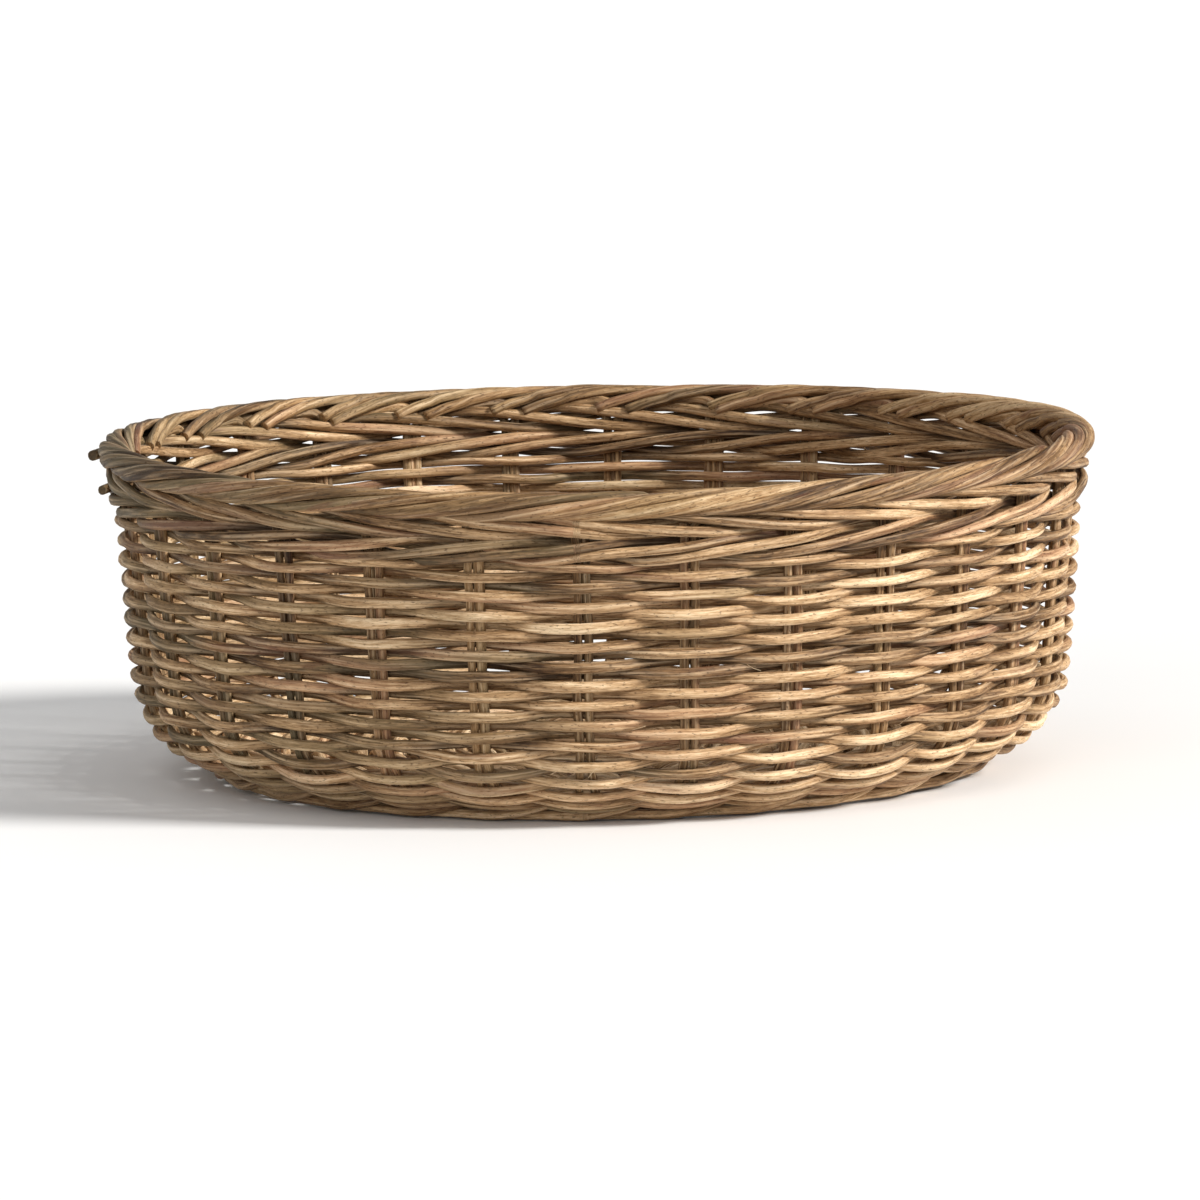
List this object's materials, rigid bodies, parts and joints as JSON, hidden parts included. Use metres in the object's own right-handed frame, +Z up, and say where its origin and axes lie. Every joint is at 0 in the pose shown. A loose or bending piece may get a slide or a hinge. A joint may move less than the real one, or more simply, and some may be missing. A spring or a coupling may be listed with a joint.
{
  "type": "wicker pet bed basket",
  "caption": "Round open woven cane pet bed with a flat woven base, rounded corner, slightly flared low wall and a rolled rope-like border round the rim.",
  "frame": {"origin": "centre of the round footprint on the floor, under the lowest rows of the base corner", "axes": "+Z up through the open top, -Y towards the front; the bed is round about Z, with one stake pair about 2 degrees left of the front"},
  "size_m": [0.6024, 0.6024, 0.2],
  "materials": {
    "weaver_cane": "dry unvarnished round cane with fine lengthwise grain, matte",
    "stake_rattan": "dry unvarnished rattan rod, matte, slightly darker than the weavers",
    "wale_cane": "dry unvarnished round cane, matte",
    "binder_cane": "dry fine cane, matte",
    "base_stick_rattan": "thick rattan stick, matte"
  },
  "bodies": {
    "root": {"base_weave_inner": "binder_cane", "base_weave_middle": "weaver_cane", "base_weave_outer": "weaver_cane", "corner_weave_lower": "weaver_cane", "corner_weave_upper": "weaver_cane", "slath_binding": "binder_cane", "slath_pierced_stick_1": "base_stick_rattan", "slath_pierced_stick_2": "base_stick_rattan", "slath_pierced_stick_3": "base_stick_rattan", "slath_pierced_stick_4": "base_stick_rattan", "slath_pierced_stick_5": "base_stick_rattan", "slath_pierced_stick_6": "base_stick_rattan", "slath_pierced_stick_7": "base_stick_rattan", "slath_through_stick_1": "base_stick_rattan", "slath_through_stick_2": "base_stick_rattan", "slath_through_stick_3": "base_stick_rattan", "slath_through_stick_4": "base_stick_rattan", "slath_through_stick_5": "base_stick_rattan", "slath_through_stick_6": "base_stick_rattan", "slath_through_stick_7": "base_stick_rattan", "stake_pair_01": "stake_rattan", "stake_pair_02": "stake_rattan", "stake_pair_03": "stake_rattan", "stake_pair_04": "stake_rattan", "stake_pair_05": "stake_rattan", "stake_pair_06": "stake_rattan", "stake_pair_07": "stake_rattan", "stake_pair_08": "stake_rattan", "stake_pair_09": "stake_rattan", "stake_pair_10": "stake_rattan", "stake_pair_11": "stake_rattan", "stake_pair_12": "stake_rattan", "stake_pair_13": "stake_rattan", "stake_pair_14": "stake_rattan", "stake_pair_15": "stake_rattan", "stake_pair_16": "stake_rattan", "stake_pair_17": "stake_rattan", "stake_pair_18": "stake_rattan", "stake_pair_19": "stake_rattan", "stake_pair_20": "stake_rattan", "stake_pair_21": "stake_rattan", "stake_pair_22": "stake_rattan", "stake_pair_23": "stake_rattan", "stake_pair_24": "stake_rattan", "stake_pair_25": "stake_rattan", "stake_pair_26": "stake_rattan", "stake_pair_27": "stake_rattan", "stake_pair_28": "stake_rattan", "wale_lower": "wale_cane", "wale_upper": "wale_cane", "wall_weave_1": "weaver_cane", "wall_weave_2": "weaver_cane", "wall_weave_3": "weaver_cane", "wall_weave_4": "weaver_cane"}
  },
  "joints": []
}
